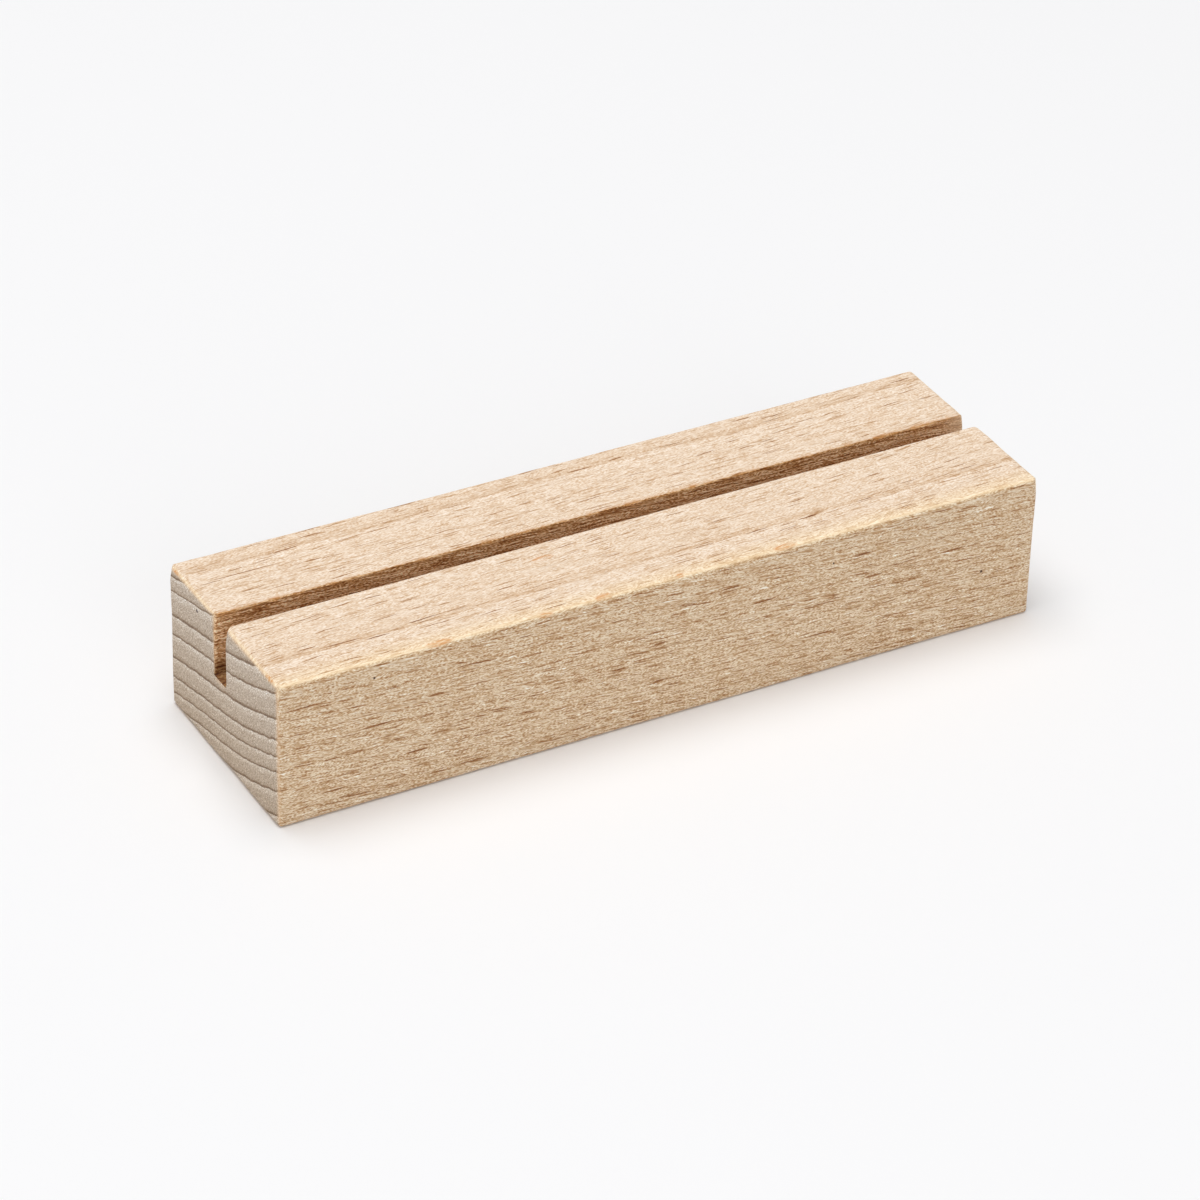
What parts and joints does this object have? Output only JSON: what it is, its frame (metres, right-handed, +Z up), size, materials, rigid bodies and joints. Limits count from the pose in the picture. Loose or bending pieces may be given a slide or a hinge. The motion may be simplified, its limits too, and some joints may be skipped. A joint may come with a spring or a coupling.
{
  "type": "photo block holder",
  "caption": "Solid rectangular beech block with a saw-cut slot along its whole top, which holds a photo print or card upright.",
  "frame": {"origin": "centre of the flat face that the block rests on", "axes": "+X along the slot and the grain, -Y out of the front face (the side with the wider lip), +Z up"},
  "size_m": [0.105, 0.03, 0.02],
  "materials": {
    "beech": "fine-sanded, untreated beech"
  },
  "bodies": {
    "root": {"slotted_block": "beech"}
  },
  "joints": []
}
